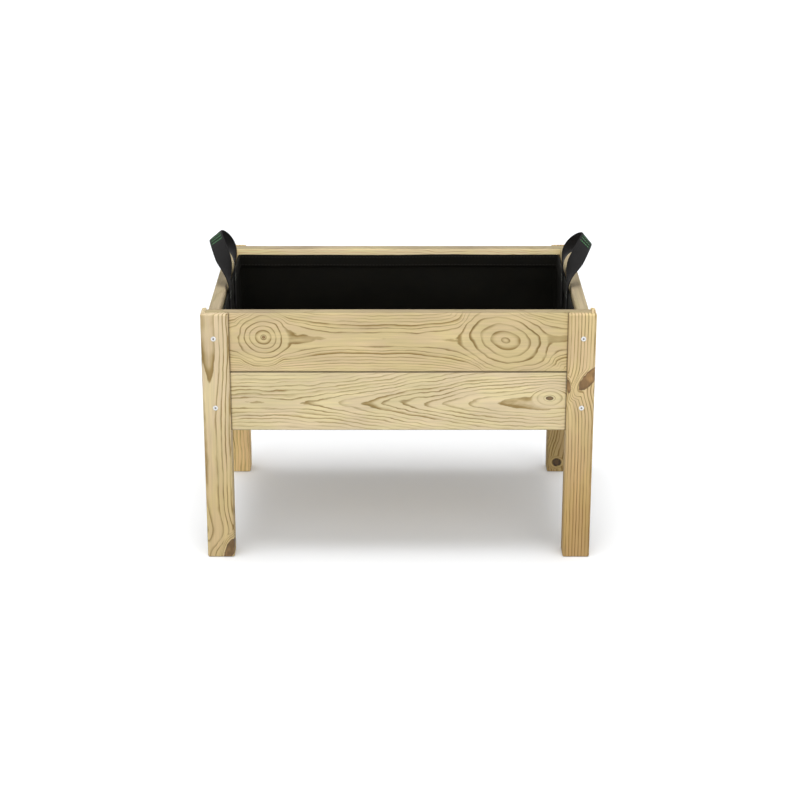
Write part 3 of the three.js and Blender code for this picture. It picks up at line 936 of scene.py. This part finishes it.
def floorPlace(x, y, ease):
    # a place on the bag's floor, which isn't quite flat
    wave = 0.6 + noise.noise(Vector((x * 9, y * 13, 2.0))) + 0.4 * noise.noise(Vector((x * 26, y * 22, 5.0)))
    return Vector((x, y, bagLow.z + bag["floorWave"] * max(0.0, wave) * ease))


def bandFaces(rows):
    # quads between rows of point numbers, each row a loop
    faces = []
    for upper, lower in zip(rows, rows[1:]):
        for step in range(len(upper)):
            after = (step + 1) % len(upper)
            faces.append((upper[step], lower[step], lower[after], upper[after]))
    return faces


def makeBag():
    loop = bagLoop(bagHigh.x, bagHigh.y, bag["corner"], bag["around"])
    points = []
    rows = []

    def addRow(places):
        rows.append(range(len(points), len(points) + len(places)))
        points.extend(places)

    top = bagHigh.z - bag["hemStart"]
    foot = bag["footRound"]
    for step in range(bag["levels"] + 1):
        height = top + (bagLow.z + foot - top) * step / bag["levels"]
        addRow([wallPlace(spot, out, height, 0.0) for spot, out in loop])
    for step in range(1, bag["footSteps"] + 1):
        angle = math.pi / 2 * step / bag["footSteps"]
        height = bagLow.z + foot * (1 - math.sin(angle))
        inset = foot * (1 - math.cos(angle))
        addRow([wallPlace(spot, out, height, inset, slack=False) for spot, out in loop])
    edge = points[-len(loop):]
    for ring in range(1, bag["floorRings"]):
        keep = 1 - ring / bag["floorRings"]
        addRow([floorPlace(place.x * keep, place.y * keep, min(1.0, ring / 4)) for place in edge])
    points.append(Vector((0, 0, points[-1].z)))
    faces = bandFaces(rows)
    last = rows[-1]
    for step in range(len(last)):
        faces.append((last[step], len(points) - 1, last[(step + 1) % len(last)]))
    shell = newMesh("planting_bag", points, faces)
    solid = shell.modifiers.new("cloth", "SOLIDIFY")
    solid.thickness = bag["fabric"]
    solid.offset = -1.0
    return shell


def makeHem():
    # the rim turned over to the inside, drawn as a closed section run round the bag
    loop = bagLoop(bagHigh.x, bagHigh.y, bag["corner"], bag["around"])
    thick, deep, start = bag["hemThick"] / mm, bag["hem"] / mm, bag["hemStart"] / mm
    wall = bag["fabric"] / mm + 0.05
    # each point's way in from the outer face and down from the top, in millimetres
    section = [(0.0, start), (0.0, 1.3), (0.4, 0.4), (thick / 2, 0.0), (thick - 0.4, 0.4), (thick, 1.3)]
    section += [(thick + 0.25 * (step % 2), 1.3 + (deep - 2.0) * step / 6) for step in range(1, 6)]
    section += [(thick, deep - 0.5), (thick - 0.5, deep), (wall, deep), (wall, start)]
    points, arounds, drops, rows = [], [], [], []
    travelled = 0.0
    for index, (spot, out) in enumerate(loop):
        if index:
            travelled += (spot - loop[index - 1][0]).length / mm
        rows.append(range(len(points), len(points) + len(section)))
        for inset, drop in section:
            points.append(wallPlace(spot, out, bagHigh.z - drop * mm, inset * mm))
            arounds.append(travelled)
            drops.append(drop)
    hem = newMesh("bag_hem", points, bandFaces(rows + rows[:1]))
    setField(hem, "around", arounds)
    setField(hem, "drop", drops)
    return hem


def makeSeams():
    # raised seams inside: one up each corner, and one round the floor
    section = [(-1.7, -0.2), (-1.2, 0.8), (0.0, 1.15), (1.2, 0.8), (1.7, -0.2)]
    points, faces = [], []

    def addSeam(path, closed):
        rows = []
        for centre, inward, side in path:
            rows.append(range(len(points), len(points) + len(section)))
            points.extend(centre + side * over * mm + inward * rise * mm for over, rise in section)
        faces.extend(bandFaces(rows + (rows[:1] if closed else [])))
        if not closed:
            faces.append(tuple(reversed(rows[0])))
            faces.append(tuple(rows[-1]))

    corner = bag["corner"]
    fabric = bag["fabric"]
    foot = bag["footRound"]
    top = bagHigh.z - bag["hem"] - 0.5 * mm
    low = bagLow.z + foot
    steps = 24
    for sideX in (-1, 1):
        for sideY in (-1, 1):
            out = Vector((sideX, sideY)).normalized()
            spot = Vector((sideX * (bagHigh.x - corner), sideY * (bagHigh.y - corner))) + out * corner
            inward = Vector((-out.x, -out.y, 0))
            side = Vector((out.y, -out.x, 0))
            heights = [top + (low - top) * step / steps for step in range(steps + 1)]
            addSeam([(wallPlace(spot, out, height, fabric), inward, side) for height in heights], False)
    path = []
    for spot, out in bagLoop(bagHigh.x, bagHigh.y, corner, bag["around"]):
        centre = wallPlace(spot, out, bagLow.z + foot * 0.6, fabric + foot * 0.12, slack=False)
        inward = Vector((-out.x, -out.y, 0.8)).normalized()
        side = Vector((out.x, out.y, 1.25)).normalized()
        path.append((centre, inward, side))
    addSeam(path, True)
    return newMesh("bag_seams", points, faces)


def applyModifiers(obj):
    graph = bpy.context.evaluated_depsgraph_get()
    mesh = bpy.data.meshes.new_from_object(obj.evaluated_get(graph))
    obj.modifiers.clear()
    obj.data = mesh


def makeBagCloth():
    material, tree, shader = newMaterial("black_bag_cloth", specular=bag["shine"])
    place = placeInMm(tree)
    x, y, z = parts(tree, place)
    weave = woven(tree, plus(tree, x, y), z, bag["weave"])
    dust = patches(tree, place, bag["dust"])
    thread = stitches(tree, bag["hemStitches"], fieldValue(tree, "drop"), fieldValue(tree, "around"))
    colour = mixed(tree, ramp(tree, dust, 0.3, 0.75), paint(*bag["dark"]), paint(*bag["dusty"]))
    colour = mixed(tree, thread, colour, paint(*bag["thread"]))
    relief = timesPlus(tree, thread, 2.0, weave)
    setSurface(tree, shader, colour, ramp(tree, dust, 0.3, 0.7, 0.72, 0.9), relief, 0.25, 0.0003)
    return material


bagCloth = makeBagCloth()
bagShell = makeBag()
applyModifiers(bagShell)
for piece in (bagShell, makeHem(), makeSeams()):
    setMaterial(piece, bagCloth)
    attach(piece, "bag")
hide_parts("fabric_bag")
print("bag done")


# Handles: one strip of webbing each, from the sewn end up through the loop and down again
handle = {"width": 25 * mm, "thickness": 1.6 * mm, "spread": 100 * mm, "tail": 55 * mm, "tailX": 265.9 * mm,
          "foldX": 264.7 * mm, "start": 0.15 * mm, "leanCurve": 1.65, "topPinch": 1.3, "shoulder": 0.85,
          "rearSag": 3 * mm, "loopSteps": 96, "tailSteps": 16, "across": 10, "selvedge": 1.6 * mm,
          "selvedgeShare": 0.72, "blendBelow": 5 * mm, "blendAbove": 9 * mm,
          "right": {"sideways": 1, "rise": 72 * mm, "lean": 33.5 * mm, "pitch": math.radians(50)},
          "left": {"sideways": -1, "rise": 77 * mm, "lean": 25 * mm, "pitch": math.radians(40)}}

# The webbing's look, in millimetres. Sewn and pale rows are counted from the bag's rim, green rows from
# the loop's top, and side rows from the middle line. The other rows fade out at rowEnds from it.
tape = {"dark": (15, 14, 14), "dusty": (26, 24, 24), "ribHighlight": (44, 42, 43), "shine": 0.28, "weave": (1.7, 2.1),
        "dust": {"size": 14, "detail": 4.0, "roughness": 0.6, "seed": (4.0, 1.0, 6.0)},
        "sewn": {"rows": (-50, -14), "halfWidth": 0.8, "pitch": 3.4, "share": 0.7},
        "sides": {"rows": (9.6,), "halfWidth": 0.8, "pitch": 3.4, "share": 0.7},
        "pale": {"rows": (-2.5, -9), "halfWidth": 1.1, "pitch": 1.5, "share": 0.75},
        "green": {"rows": (-5, -11, -17), "halfWidth": 1.0, "pitch": 4.2, "share": 0.7},
        "sewnThread": (64, 62, 62), "paleThread": (168, 174, 160), "greenThread": (76, 136, 84),
        "rowEnds": (10.4, 9.9)}


def handlePath(own):
    # middles and inner edge directions along the strip, drawn for the right side
    half = handle["spread"] / 2
    top = bagHigh.z
    across = Vector((-math.cos(own["pitch"]), 0, math.sin(own["pitch"])))
    tail = [top - handle["tail"] * (1 - step / handle["tailSteps"]) for step in range(handle["tailSteps"])]
    path = [(Vector((handle["tailX"], -half, height)), Vector((0, 1, 0))) for height in tail]
    for step in range(handle["loopSteps"] + 1):
        angle = math.pi * step / handle["loopSteps"]
        rise = max(math.sin(angle), 0.0)
        cosine = math.cos(angle)
        sideways = math.copysign(1.0, cosine)
        sag = handle["rearSag"] * max(-math.sin(2 * angle), 0.0)
        spot = Vector((handle["tailX"] + own["lean"] * rise ** handle["leanCurve"] - sag,
                       -sideways * abs(cosine) ** handle["topPinch"] * half,
                       top + handle["start"] + own["rise"] * rise ** handle["shoulder"]))
        turned = (rise * rise * (3 - 2 * rise)) * math.pi / 2
        path.append((spot, Vector((0, sideways, 0)) * math.cos(turned) + across * math.sin(turned)))
    path += [(Vector((handle["tailX"], half, height)), Vector((0, -1, 0))) for height in reversed(tail)]
    return path


def makeWebbing():
    material, tree, shader = newMaterial("black_webbing", specular=tape["shine"])
    along, over = fieldValue(tree, "along"), fieldValue(tree, "over")
    fromTop, fromRim = fieldValue(tree, "fromTop"), fieldValue(tree, "fromRim")
    weave = woven(tree, along, over, tape["weave"])
    dust = patches(tree, placeInMm(tree), tape["dust"])
    colour = mixed(tree, ramp(tree, dust, 0.35, 0.75), paint(*tape["dark"]), paint(*tape["dusty"]))
    # painted highlight: the weave's raised ribs are lighter
    colour = mixed(tree, ramp(tree, weave, -0.2, 1.0, 0.0, 0.35), colour, paint(*tape["ribHighlight"]))

    # sewn down with a box of stitches: rows across, and a line along each side between them
    aside = absolute(tree, over)
    inside = ramp(tree, aside, *tape["rowEnds"])
    low, high = tape["sewn"]["rows"]
    above, below = ramp(tree, fromRim, low - 0.5, low), ramp(tree, fromRim, high + 0.5, high)
    between = times(tree, above, below)
    lines = times(tree, stitches(tree, tape["sides"], aside, along), between)
    sewn = times(tree, stitches(tree, tape["sewn"], fromRim, over), inside)
    sewn = larger(tree, sewn, lines)
    pale = times(tree, stitches(tree, tape["pale"], fromRim, over), inside)
    green = times(tree, stitches(tree, tape["green"], fromTop, over), inside)
    thread = 0.0
    for rows, tone in ((sewn, "sewnThread"), (pale, "paleThread"), (green, "greenThread")):
        colour = mixed(tree, rows, colour, paint(*tape[tone]))
        thread = larger(tree, thread, rows)
    relief = timesPlus(tree, thread, 1.5, weave)
    setSurface(tree, shader, colour, ramp(tree, dust, 0.3, 0.7, 0.6, 0.78), relief, 0.5, 0.0003)
    return material


def makeHandle(side):
    own = handle[side]
    sideways = own["sideways"]
    path = handlePath(own)
    half, thick, count = handle["width"] / 2, handle["thickness"] / 2, handle["across"]
    reaches = [half - 2 * half * step / count for step in range(count + 1)]
    section = [(reach, thick) for reach in reaches] + [(reach, -thick) for reach in reversed(reaches)]
    points, alongs, overs = [], [], []
    travelled = 0.0
    for index, (spot, inward) in enumerate(path):
        before = path[max(0, index - 1)][0]
        after = path[min(len(path) - 1, index + 1)][0]
        ahead = (after - before).normalized()
        inward = (inward - ahead * inward.dot(ahead)).normalized()
        face = ahead.cross(inward)
        if index:
            travelled += (spot - path[index - 1][0]).length
        for reach, height in section:
            # the selvedge is a little thinner than the middle
            full = min(1.0, (half - abs(reach)) / handle["selvedge"])
            height *= handle["selvedgeShare"] + (1 - handle["selvedgeShare"]) * full
            place = spot + inward * reach + face * height
            points.append((place.x * sideways, place.y, place.z))
            alongs.append(travelled / mm)
            overs.append(reach / mm)
    ring = len(section)
    faces = []
    for index in range(len(path) - 1):
        for step in range(ring):
            first = index * ring + step
            second = index * ring + (step + 1) % ring
            faces.append((first, second, second + ring, first + ring))
    faces.append(tuple(reversed(range(ring))))
    faces.append(tuple(range(len(points) - ring, len(points))))
    if sideways < 0:
        faces = [face[::-1] for face in faces]
    strip = newMesh(side + "_webbing_handle", points, faces)
    topAt = alongs[ring * (handle["tailSteps"] + handle["loopSteps"] // 2)]
    setField(strip, "along", alongs)
    setField(strip, "over", overs)
    setField(strip, "fromTop", [along - topAt for along in alongs])
    setField(strip, "fromRim", [min(along, alongs[-1] - along) - handle["tail"] / mm for along in alongs])
    setMaterial(strip, webbing)
    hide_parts(side + "_handle_loop", side + "_handle_tail_front", side + "_handle_tail_rear")
    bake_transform(strip)


webbing = makeWebbing()
makeHandle("right")
makeHandle("left")
print("handles done")


# Floor, light and camera
studio = {"floorSize": 40.0, "floorSeen": (250, 252, 255), "floorLit": (180, 180, 180), "floorGlow": 0.05,
          "fill": 0.46, "frontGlow": 1.36, "frontWidth": 0.6, "frontFrom": (0.05, -0.94, 0.36),
          "topGlow": 8.0, "topWidth": 0.93, "topFrom": (-0.03, -0.05, 1.0)}


def plainRays(tree):
    # 1 where the camera, or a shiny or clear surface, looks at the floor or the sky
    path = tree.nodes.new("ShaderNodeLightPath")
    rays = larger(tree, path.outputs["Is Camera Ray"], path.outputs["Is Glossy Ray"])
    return larger(tree, rays, path.outputs["Is Transmission Ray"])


def makeFloor():
    half = studio["floorSize"] / 2
    floor = newMesh("floor", [(-half, -half, 0), (half, -half, 0), (half, half, 0), (-half, half, 0)],
                    [(0, 1, 2, 3)], smooth=False)
    material, tree, shader = newMaterial("white_floor", specular=0.0)
    shader.inputs["Roughness"].default_value = 0.9
    shader.inputs["Emission Color"].default_value = (1, 1, 1, 1)
    seen = plainRays(tree)
    colour = mixed(tree, seen, paint(*studio["floorLit"]), paint(*studio["floorSeen"]))
    join(tree, shader.inputs["Base Color"], colour)
    join(tree, shader.inputs["Emission Strength"], times(tree, seen, studio["floorGlow"]))
    setMaterial(floor, material)


def softbox(tree, direction, middle, width, strength):
    # a round soft light in the sky, brightest at its middle
    near = towards(tree, direction, Vector(middle).normalized())
    return ramp(tree, near, width, 1.0, 0.0, strength)


def makeSky():
    world = bpy.data.worlds.new("studio")
    world.use_nodes = True
    tree = world.node_tree
    tree.nodes.clear()
    output = tree.nodes.new("ShaderNodeOutputWorld")
    shine = tree.nodes.new("ShaderNodeBackground")
    shine.inputs["Color"].default_value = (1, 1, 1, 1)
    direction = tree.nodes.new("ShaderNodeTexCoord").outputs["Generated"]
    front = softbox(tree, direction, studio["frontFrom"], studio["frontWidth"], studio["frontGlow"])
    top = softbox(tree, direction, studio["topFrom"], studio["topWidth"], studio["topGlow"])
    level = plus(tree, plus(tree, front, top), studio["fill"])
    plain = plainRays(tree)
    lit = times(tree, level, minus(tree, 1.0, plain))
    join(tree, shine.inputs["Strength"], plus(tree, lit, plain))
    tree.links.new(shine.outputs[0], output.inputs[0])
    bpy.context.scene.world = world


camera = {"x": 2.3 * mm, "y": -3139 * mm, "z": 1309 * mm, "pitch": 19.6, "focal": 2037, "frameWidth": 800}


def makeCamera():
    data = bpy.data.cameras.new("camera")
    data.sensor_width = 36.0
    data.lens = camera["focal"] / camera["frameWidth"] * data.sensor_width
    data.clip_end = 100.0
    obj = bpy.data.objects.new("camera", data)
    obj.location = (camera["x"], camera["y"], camera["z"])
    obj.rotation_euler = (math.radians(90 - camera["pitch"]), 0, 0)
    bpy.context.scene.collection.objects.link(obj)
    bpy.context.scene.camera = obj


makeFloor()
makeSky()
makeCamera()
bpy.context.scene.view_settings.view_transform = "Standard"

print("scene done")
